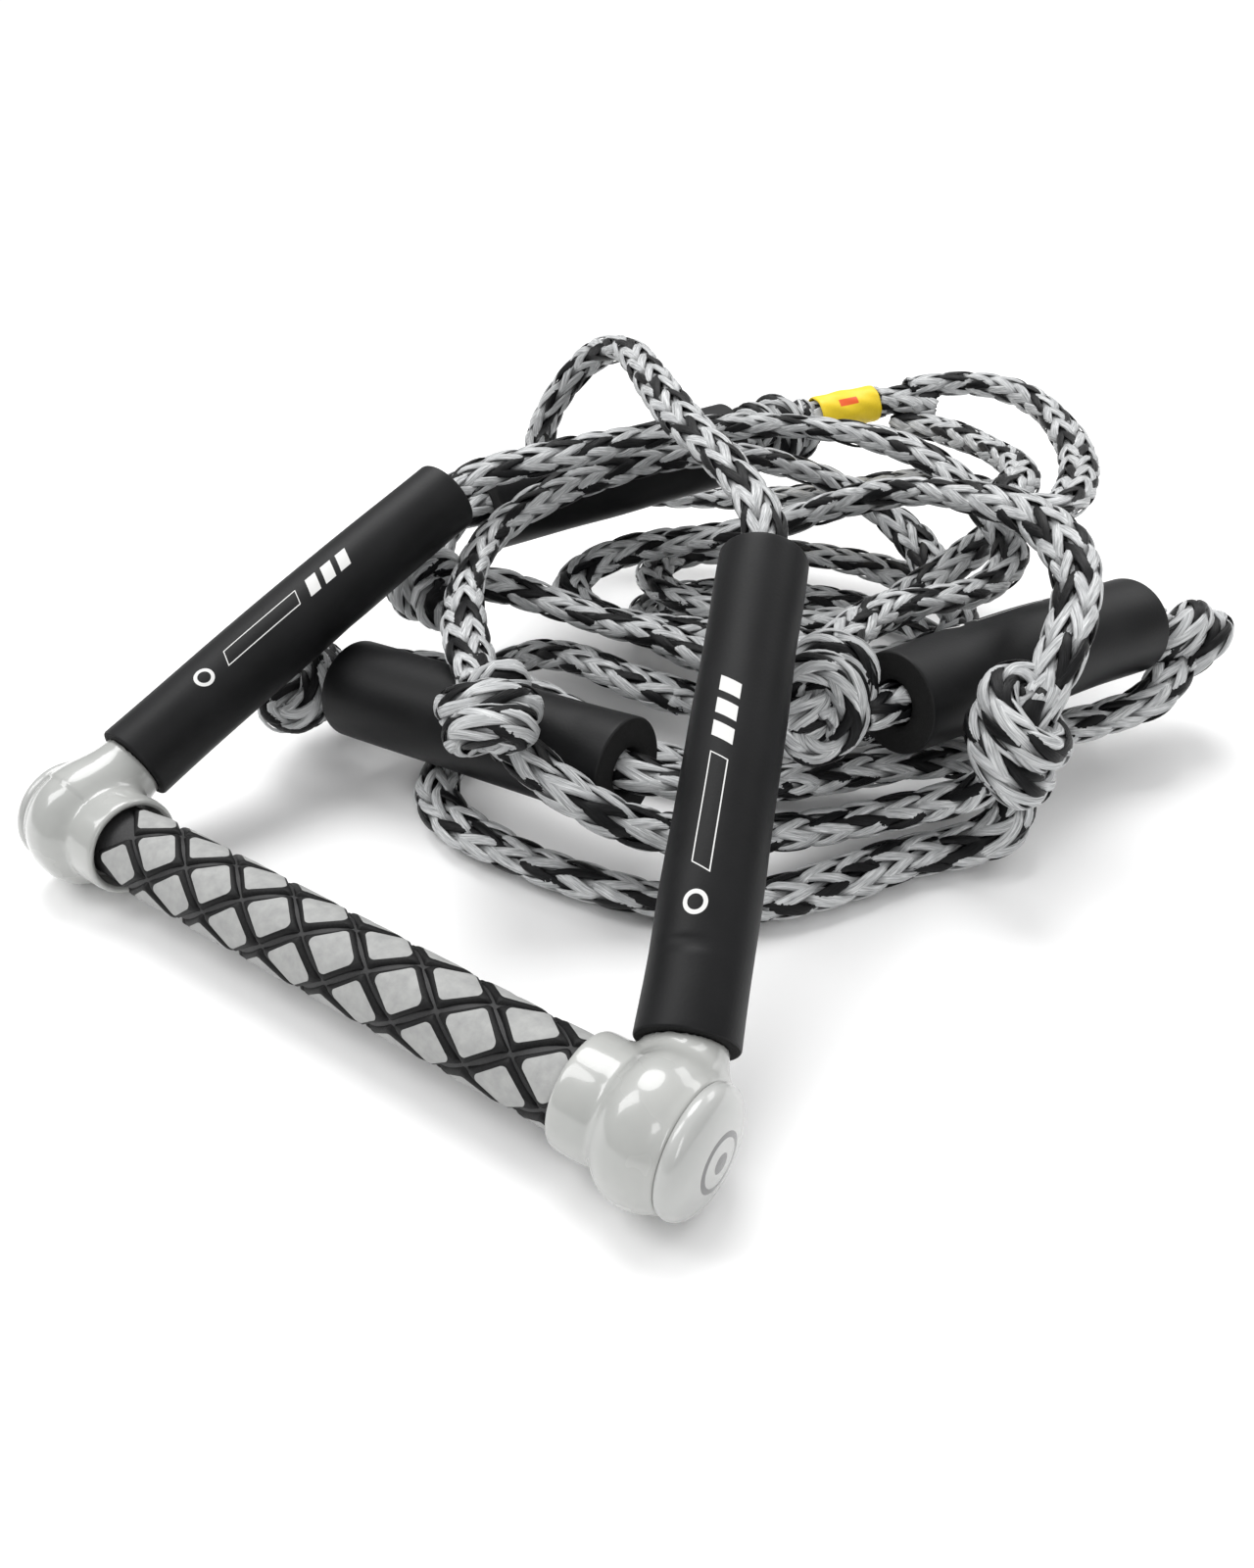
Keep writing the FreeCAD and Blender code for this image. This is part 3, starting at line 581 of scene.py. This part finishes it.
def knot(name):
    """An overhand knot drawn tight: the rope runs through, wraps back round itself and goes on."""
    centre, way_in, way_out, angle, tilt, radius = KNOTS[name]
    centre, way_in, way_out = np.array(centre), unit(way_in), unit(way_out)
    e = way_in + 0.6 * way_out
    e = unit(e) if np.linalg.norm(e) >= 0.55 else way_in  # two opposed ways leave no mean direction
    p = unit(np.cross(e, (0.3, 0.2, 1.0)))
    q = np.cross(e, p)
    tail, half_length = 0.015, 0.0125
    path = [centre - way_in * tail, centre - e * 0.002, centre + e * 0.012]
    turns, count = 2.1, 17
    for k in range(count):
        share = k / (count - 1)
        theta = angle + 2 * math.pi * turns * share
        lean = tilt * math.cos(theta - angle - 1.2) * (1.0 if share < 0.5 else 1.35)
        x = half_length - 2 * half_length * share + lean
        uneven = 0.10 * math.sin(3.1 * theta + angle) * 0.5
        r = radius * (0.90 + uneven + 0.10 * math.sin(math.pi * share))
        path.append(centre + e * x + p * r * math.cos(theta) + q * r * math.sin(theta))
    path += [centre - e * 0.010, centre + e * 0.002, centre + way_out * tail]
    line = spline_points(path, 12)
    even, _ = evenly(line, 0.00145)
    out = even - centre
    out = out - (out @ e)[:, None] * e
    size = np.linalg.norm(out, axis=1, keepdims=True)
    ups = np.where(size > 0.004, out / np.maximum(size, 1e-6), p)
    slot = "bridle_braid" if name == "bridle_knot" else "line_braid"
    piece, _ = braid(name + "_wraps", line, 0.0162, 0.0146, slot, unit_length=0.0132,
                     ups=ups, seed_turn=0.1, wobble=0.8)
    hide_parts(name)
    return piece


def float_span(name):
    """A float's axis, and where along it the foam starts and ends."""
    start, way, (low, length, _, _) = FLOATS[name]
    return np.array(start), unit(way), low, low + length


# ------------------------------------------------------------------ ropes
LEG_WIDTH = 0.0168
left_start = LEFT_OUTLET - unit(LEFT_AIM) * LEG_START
right_start = RIGHT_OUTLET - unit(RIGHT_AIM) * LEG_START
left_line = spline_points([left_start] + LEFT_LEG)
right_line = spline_points([right_start] + RIGHT_LEG)
spans = {name: float_span(name) for name in FLOATS}

knots = {name: knot(name) for name in KNOTS}


def splice_swell(x):
    """The throat of the eye: wider and flatter towards the loop."""
    return 1.0 + 0.42 * smoothstep(x * 1.3), 1.0 + 0.10 * smoothstep(x * 1.3)


splice, _ = braid("eye_splice_braid", spline_points(SPLICE), 0.0180, 0.0142, "line_braid", swell=splice_swell)
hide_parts("eye_splice")


def leg(name, cad, line, float_name):
    """One of the bridle's two legs, round from inside its cap to the far end of its float."""
    centre, way, _, high = spans[float_name]
    piece, path = braid(name, line, LEG_WIDTH, 0.0120, "bridle_braid", unit_length=0.0140,
                        round_spans=[(centre, way, -0.03, high)])
    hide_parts(cad)
    return piece


leg("left_leg_braid", "bridle_rope_left", left_line, "bridle_float_left")
leg("right_leg_braid", "bridle_rope_right", right_line, "bridle_float_right")


def section(name, cad, line, through=None, width=0.0192, thick=0.0130):
    """One section of the main line, made round where it goes through a float."""
    rounds = [spans[through]] if through else []
    piece, path = braid(name, line, width, thick, "line_braid", round_spans=rounds)
    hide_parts(cad)
    return piece


section("line_braid_1", "line_section_1", spline_points(LINE_1),
        through="line_float_1")
section("line_braid_2", "line_section_2", spline_points(LINE_2))
whole = spline_points(LINE_3)
run = distances(whole)
run = run / run[-1]
cuts = [int(np.searchsorted(run, share)) for share in LINE_3_SHARES]
SHARED = 3  # points that one part of line 3 runs on into the next
section("line_braid_3_front", "line_section_3_front", whole[:cuts[0] + SHARED],
        through="line_float_2")
section("line_braid_3_coil", "line_section_3_coil", whole[cuts[0]:cuts[1] + SHARED])
section("line_braid_3_rear", "line_section_3_rear", whole[cuts[1]:])
section("line_braid_4", "line_section_4", spline_points(LINE_4))
section("line_braid_5", "line_section_5", spline_points(LINE_5), width=0.0190)
section("line_braid_6", "line_section_6", spline_points(LINE_6),
        through="line_float_3")


# ------------------------------------------------------------------ yellow band on the line
def band():
    """The yellow band: a thin creased sleeve, open at both ends, its wall folded in at each lip."""
    line, s = evenly(spline_points(LINE_7), 0.001)
    side, thick = rope_frames(line)
    half_width, half_height, wall, lip_depth = 0.0101, 0.0080, 0.0009, 0.0004
    start = int(np.searchsorted(s, 0.0105))
    end = int(np.searchsorted(s, 0.0440))
    rows = np.arange(start, end)
    columns = 64
    phi = np.linspace(0, 2 * math.pi, columns, endpoint=False)
    inner, outer, mark = [], [], []
    for i in rows:
        share = (i - start) / (len(rows) - 1)
        crease = 0.00022 * np.sin(3 * phi + 9 * share) + 0.00016 * np.sin(7 * phi - 14 * share)
        lip = lip_depth * math.exp(-((share * 30) ** 2)) + lip_depth * math.exp(-(((1 - share) * 30) ** 2))
        for rim, store in ((0.0, inner), (wall, outer)):
            a = half_width + rim + crease - lip * (rim > 0)
            b = half_height + rim + crease - lip * (rim > 0)
            store.append(line[i] + np.outer(np.cos(phi) * a, side[i]) + np.outer(np.sin(phi) * b, thick[i]))
        mark.append(np.stack([np.full(columns, share * 36.0), np.cos(phi) * 9.5, np.zeros(columns)], 1))
    count = len(rows) * columns
    verts = np.concatenate([np.concatenate(outer), np.concatenate(inner)])
    faces = grid_faces(len(rows), columns).tolist()
    faces += [f[::-1] for f in grid_faces(len(rows), columns, count).tolist()]
    for j in range(columns):
        k = (j + 1) % columns
        faces.append([j, count + j, count + k, k])
        last = (len(rows) - 1) * columns
        faces.append([last + k, count + last + k, count + last + j, last + j])
    marks = np.concatenate(mark)
    return make_piece("yellow_band", verts, faces, LABEL,
                      points={"mark": np.concatenate([marks, marks])})


yellow = band()
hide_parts("label_sleeve")
short, _ = braid("line_braid_7", spline_points(LINE_7), 0.0184, 0.0122, "line_braid")
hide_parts("line_section_7")


section("eye_braid", "eye_loop", spline_points(EYE),
        width=0.0180, thick=0.0130)


# ------------------------------------------------------------------ foam floats
def foam_float(name, bend=0.0, crease=None, turn=0.0, printed=True):
    """A thick tube of foam with eased rims, slightly out of round, dented and bowed."""
    start, way, (low, length, outer, bore) = FLOATS[name]
    start, way = np.array(start), unit(way)
    start = start + way * low
    up = unit(np.array((0, 0, 1.0)) - way * way[2])
    side = np.cross(way, up)
    columns = 96
    theta = np.linspace(0, 2 * math.pi, columns, endpoint=False)
    # The outline, round from the near end: how far along, radius, and 1 where the foam is cut.
    edge, rim_steps, side_steps, bore_steps = 0.0010, 6, 90, 24
    near_end = [(0.0, bore + (outer - edge - bore) * f, 1.0) for f in (0.0, 0.3, 0.6, 0.9)]
    for k in range(rim_steps, -1, -1):
        t = math.pi / 2 * k / rim_steps
        x = edge * (1 - math.sin(t))
        near_end.append((x, outer - edge * (1 - math.cos(t)), 1.0 if x < edge * 0.15 else 0.0))
    far_end = [(length - x, r, c) for x, r, c in near_end][::-1]
    wall = [(edge + (length - 2 * edge) * k / side_steps, outer, 0.0) for k in range(1, side_steps)]
    inside = [(length - length * k / bore_steps, bore, 1.0) for k in range(1, bore_steps)]
    loop = near_end + wall + far_end + inside
    verts, cut, mark = [], [], []
    stations = np.linspace(0, length, 400)
    shape = waves(stations, 3, 0.05, 0.14, 0.00022)
    # Dents: how far along, at what angle, how wide and how deep.
    dents = [(rng.uniform(0.1, 0.9) * length, rng.uniform(0, 6.28), rng.uniform(0.004, 0.009),
              rng.uniform(0.0001, 0.00028)) for _ in range(9)]
    for x, r, c in loop:
        rr = np.full(columns, r)
        if r > bore + 1e-6:
            weight = (r - bore) / (outer - bore)
            rr = rr + weight * (0.00018 * np.cos(2 * theta + 9 * x) + np.interp(x, stations, shape))
            for at, angle, size, depth in dents:
                gap = np.angle(np.exp(1j * (theta - angle))) * outer
                rr = rr - weight * depth * np.exp(-((x - at) ** 2 + gap ** 2) / size ** 2)
            if crease:
                at, angle, depth, wide = crease
                gap = np.angle(np.exp(1j * (theta - angle)))
                rr = rr - weight * depth * np.exp(-((x - at) / 0.0011) ** 2 - (gap / wide) ** 2)
                rr = rr - weight * depth * 0.9 * np.exp(-((x - at) / 0.016) ** 2 - (gap / (wide * 2.2)) ** 2)
        bow = bend * (4 * (x / length) * (1 - x / length)) if r > bore + 1e-6 else 0.0
        ringed = start + way * x + np.outer(np.cos(theta) * rr, side) + np.outer(np.sin(theta) * rr, up)
        verts.append(ringed + up * bow)
        cut.append(np.full(columns, c))
        arc = np.angle(np.exp(1j * (theta - turn))) * r * 1000
        shown = 1.0 if (printed and r > outer * 0.97) else 0.0
        mark.append(np.stack([np.full(columns, x * 1000), arc, np.full(columns, shown)], 1))
    rows = len(loop)
    faces = grid_faces(rows, columns)
    this = np.arange(columns)
    after = (this + 1) % columns
    last = (rows - 1) * columns
    closing = np.stack([last + this, last + after, after, this], 1)
    faces = np.concatenate([faces, closing])[:, ::-1]
    piece = make_piece(name + "_foam", np.concatenate(verts), faces.tolist(), FOAM, body=name,
                       points={"cut": np.concatenate(cut), "mark": np.concatenate(mark)})
    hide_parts(name)
    return piece


foam_float("bridle_float_left", bend=0.0011, turn=1.1)
foam_float("bridle_float_right", bend=-0.0008, crease=(0.026, 1.9, 0.0011, 0.5), turn=1.75)
foam_float("line_float_1", bend=0.0008, turn=2.1)
foam_float("line_float_2", bend=0.0, printed=False)
foam_float("line_float_3", bend=0.0, printed=False)


# ------------------------------------------------------------------ grip pads
def grip_pads():
    """Raised pads on a lattice: rounded corners, bevelled black sides and a slightly domed grey top."""
    # In millimetres and radians, up to where the points are stored.
    sleeve, outer, axis_height = 13.05, 14.65, 22.5
    pitch, per_ring, rings = 28.5, 4, 7
    lattice_shift, lattice_turn, lattice_twist = 3.6, 0.20, 0.0016
    pad_reach, grip_half = 10.8, 111  # half a pad's length, and where the grip goes into a cap
    cell = np.array((pitch / 2, math.pi * outer / per_ring))
    depth = cell[0] * cell[1] / math.hypot(cell[0], cell[1])
    per_corner = 14
    # Each level: how far in from the cell's edge, how far up from the sleeve, the share of the top's colour,
    # and the corner's radius.
    levels = [(0.30, -0.35, 0.0, 0.6), (0.55, 0.10, 0.0, 0.8), (0.85, 0.75, 0.0, 1.1), (1.15, 1.15, 0.0, 1.4),
              (1.55, 1.40, 0.0, 1.7), (2.05, 1.53, 0.10, 1.9), (2.40, 1.58, 0.38, 2.0),
              (2.62, 1.60, 0.75, 2.1), (2.95, 1.61, 1.0, 2.1), (4.4, 1.65, 1.0, 1.8), (6.4, 1.68, 1.0, 0.9)]
    columns = 4 * per_corner
    verts, faces, top = [], [], []
    first = 0

    def outline(inset, radius):
        inner = cell * (1 - (inset + radius) / depth)
        spread = math.atan2(cell[1], cell[0])
        found = []
        for k, (cx, cy) in enumerate(((1, 0), (0, 1), (-1, 0), (0, -1))):
            half = math.pi / 2 - spread if k % 2 == 0 else spread
            middle = k * math.pi / 2
            for step in range(per_corner):
                angle = middle - half + 2 * half * step / (per_corner - 1)
                found.append((cx * inner[0] + radius * math.cos(angle),
                              cy * inner[1] + radius * math.sin(angle)))
        return np.array(found)

    for half_ring in range(-rings, rings + 1):
        offset = 0.5 * half_ring * pitch - lattice_shift
        if abs(offset) + pad_reach > grip_half:
            continue
        for k in range(per_ring):
            base = (2 * k + half_ring % 2) * math.pi / per_ring + math.pi / 2
            base = base - lattice_turn + lattice_twist * offset
            for inset, rise, colour, radius in levels:
                shape = outline(inset, radius)
                shape = shape + 0.13 * np.sin(shape[:, ::-1] * 0.9 + first * 0.37)
                x = offset + shape[:, 0]
                angle = base + shape[:, 1] / outer
                r = sleeve + rise
                verts.append(np.stack([x, r * np.cos(angle), axis_height + r * np.sin(angle)], 1) / 1000)
                top.append(np.full(columns, colour))
            faces.extend(grid_faces(len(levels), columns, first)[:, ::-1].tolist())
            faces.append([first + (len(levels) - 1) * columns + j for j in range(columns)][::-1])
            faces.append([first + j for j in range(columns)])
            first += len(levels) * columns
    piece = make_piece("grip_pads_rounded", np.concatenate(verts), faces, GRIP,
                       points={"top": np.concatenate(top)})
    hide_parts("grip_pads")
    return piece


grip_pads()


# ------------------------------------------------------------------ carried-over handle parts
def paint(node, material):
    """Give a part that is shown as the CAD made it this material."""
    mesh = nodes[node].data
    if not mesh.materials:
        mesh.materials.append(material)
    for slot in nodes[node].material_slots:
        slot.material = material


def lathe_rows(profile, centre, outward, columns):
    """Rings of points round the bar's axis, from a profile of millimetres outwards and radius."""
    theta = np.linspace(0, 2 * math.pi, columns, endpoint=False)
    round_x = np.stack([np.zeros(columns), np.cos(theta), np.sin(theta)], 1)
    rows = [np.array(centre) + outward * (x / 1000) + round_x * (r / 1000) for x, r in profile]
    return np.stack(rows)


def smooth_profile(points, count):
    """A closely spaced smooth curve through a lathe profile's points."""
    line = spline_points([(x, r, 0.0) for x, r in points], 24)
    even, _ = evenly(line, distances(line)[-1] / count)
    return [(float(x), float(r)) for x, r in even[:, :2]]


# Lathe profiles, in millimetres: outwards from the ball's centre, and radius.
# The outside of a cap from its mouth to its disc's seat, the lining of its mouth, and the disc.
CAP_PROFILE = [(-24.0, 15.3), (-24.6, 15.9), (-25.0, 16.7), (-24.6, 17.6), (-23.4, 18.0), (-20.0, 18.05),
               (-15.0, 18.0), (-12.6, 17.75), (-11.0, 17.7), (-9.4, 18.6), (-6.8, 20.8), (-3.4, 22.35),
               (0.0, 22.7), (3.4, 22.5), (6.6, 21.6), (9.0, 20.4), (10.4, 19.95), (11.2, 19.65), (11.6, 19.2),
               (11.6, 18.5), (11.3, 17.8), (10.8, 16.8)]
CAP_LINING = [(-24.0, 15.3), (-20.0, 15.1), (-15.5, 15.0), (-13.8, 15.0), (-13.6, 14.0), (-13.6, 12.6)]
DISC_PROFILE = [(11.3, 17.2), (11.3, 18.3), (11.6, 19.0), (12.3, 19.55), (13.4, 19.8), (14.4, 19.75),
                (15.8, 19.2), (17.4, 17.6), (18.7, 15.0), (19.6, 11.4), (20.2, 7.4), (20.5, 3.6), (20.6, 0.9),
                (20.6, 0.02)]
NECK_RADIUS = 0.0124
NECK_BLEND = 0.0090


def cap(side_name, outlet, aim):
    """One end cap: collar, waist and ball in one smooth skin that rises into the neck under the float."""
    sign = -1.0 if side_name == "left" else 1.0
    outward = np.array((sign, 0.0, 0.0))
    centre = np.array((sign * BALL_X, 0.0, AXIS_HEIGHT))
    columns = 176
    aim = unit(aim)
    rows = lathe_rows(smooth_profile(CAP_PROFILE, 110), centre, outward, columns)
    top = outlet - aim * 0.0034 - centre
    reach = rows - centre
    size = np.linalg.norm(reach, axis=2)
    way = reach / size[..., None]
    along = way @ aim
    # Where a ray from the ball's centre leaves the neck: its side, or its end if that comes first.
    top_flat = top - aim * (top @ aim)
    way_flat = way - along[..., None] * aim
    qa = np.maximum(np.sum(way_flat ** 2, axis=2), 1e-9)
    qb = way_flat @ top_flat
    side_hit = (qb + np.sqrt(np.maximum(qb ** 2 - qa * (top_flat @ top_flat - NECK_RADIUS ** 2), 0))) / qa
    end_hit = (top @ aim) / np.maximum(along, 0.05)
    neck = np.where(along > 0.05, np.minimum(side_hit, end_hit), 0.0)
    near_ball = size < 0.026  # leaves the collar as it is
    gap = np.clip(0.5 + 0.5 * (neck - size) / NECK_BLEND, 0, 1)
    blended = size * (1 - gap) + neck * gap + NECK_BLEND * gap * (1 - gap)
    blended = np.minimum(blended, np.maximum(size, end_hit))
    size_new = np.where(near_ball, np.maximum(blended, size), size)
    rows = centre + way * size_new[..., None]
    lining = lathe_rows(smooth_profile(CAP_LINING, 26), centre, outward, columns)[::-1]
    rows = np.concatenate([lining, rows[1:]])
    faces = grid_faces(len(rows), columns)
    faces = faces[:, ::-1] if sign > 0 else faces
    body = make_piece("cap_shell_" + side_name, rows.reshape(-1, 3), faces.tolist(), PEARL)
    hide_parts("end_cap_" + side_name, "rope_bush_" + side_name)
    disc_rows = lathe_rows(smooth_profile(DISC_PROFILE, 64), centre, outward, columns)
    faces = grid_faces(len(disc_rows), columns)
    faces = faces[:, ::-1] if sign > 0 else faces
    last = (len(disc_rows) - 1) * columns
    hub = [last + j for j in range(columns)]
    faces = faces.tolist() + [hub if sign > 0 else hub[::-1]]
    flat = (disc_rows.reshape(-1, 3) - centre) * 1000
    mark = np.stack([flat[:, 1] * sign, flat[:, 2], np.ones(len(flat))], 1)
    disc = make_piece("cap_disc_" + side_name, disc_rows.reshape(-1, 3), faces, DISC,
                      points={"mark": mark})
    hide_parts("end_disc_" + side_name)


cap("left", LEFT_OUTLET, LEFT_AIM)
cap("right", RIGHT_OUTLET, RIGHT_AIM)
for side_name in ("left", "right"):
    paint("stopper_knot_" + side_name, BLACK)
    paint("tube_plug_" + side_name, BLACK)
paint("grip_sleeve", BLACK)
paint("foam_core", BLACK)
paint("handle_tube", METAL)


# ------------------------------------------------------------------ stage, light and camera
FAR = 60
floor_mesh = bpy.data.meshes.new("floor")
floor_mesh.from_pydata([(-FAR, -FAR, 0), (FAR, -FAR, 0), (FAR, FAR, 0), (-FAR, FAR, 0)], [], [(0, 1, 2, 3)])
floor = bpy.data.objects.new("floor", floor_mesh)
bpy.context.scene.collection.objects.link(floor)
floor_shade = Shade("pale_floor")
floor_mesh.materials.append(floor_shade.set(Base_Color=(0.96, 0.96, 0.96, 1), Roughness=0.9,
                                            Specular_IOR_Level=0.1))

world = bpy.data.worlds.new("studio")
bpy.context.scene.world = world
world.use_nodes = True
sky = world.node_tree
sky_place = sky.nodes.new("ShaderNodeTexCoord")
sky_split = sky.nodes.new("ShaderNodeSeparateXYZ")
sky_range = sky.nodes.new("ShaderNodeMapRange")
sky.links.new(sky_place.outputs["Generated"], sky_split.inputs[0])
sky.links.new(sky_split.outputs["Z"], sky_range.inputs["Value"])
sky_range.inputs["From Min"].default_value = 0.05
sky_range.inputs["From Max"].default_value = 0.75
sky_range.inputs["To Min"].default_value = 0.30
sky_range.inputs["To Max"].default_value = 0.74
sky.links.new(sky_range.outputs["Result"], sky.nodes["Background"].inputs["Color"])
sky.nodes["Background"].inputs["Strength"].default_value = 1.0


def area_light(name, place, target, size, size_y, power):
    """A rectangular light at a place, turned towards a target."""
    data = bpy.data.lights.new(name, "AREA")
    data.shape = "RECTANGLE"
    data.size, data.size_y, data.energy = size, size_y, power
    lamp = bpy.data.objects.new(name, data)
    bpy.context.scene.collection.objects.link(lamp)
    lamp.location = place
    lamp.rotation_euler = (Vector(target) - Vector(place)).to_track_quat("-Z", "Y").to_euler()


area_light("key", (-0.75, -0.45, 1.15), (0, 0.15, 0.03), 0.5, 0.9, 7)
area_light("fill", (0.95, -0.8, 0.8), (0.05, 0.1, 0.03), 0.3, 0.8, 3.5)
area_light("rim", (0.4, 1.4, 1.1), (0, 0.25, 0.05), 1.0, 0.5, 5)
sun_data = bpy.data.lights.new("sun", "SUN")
sun_data.energy = 1.65
sun_data.angle = math.radians(35)
sun = bpy.data.objects.new("sun", sun_data)
sun.rotation_euler = (math.radians(-18), math.radians(-22), 0)
bpy.context.scene.collection.objects.link(sun)
bpy.context.scene.view_settings.view_transform = "Standard"

camera_data = bpy.data.cameras.new("camera")
camera_data.lens = 29.25
camera_data.sensor_width = 36
camera_data.clip_start = 0.01
camera = bpy.data.objects.new("camera", camera_data)
camera.location = (0.2567, -0.1991, 0.2875)
camera.rotation_euler = (math.radians(57.14), 0.0, math.radians(35.39))
bpy.context.scene.collection.objects.link(camera)
bpy.context.scene.camera = camera
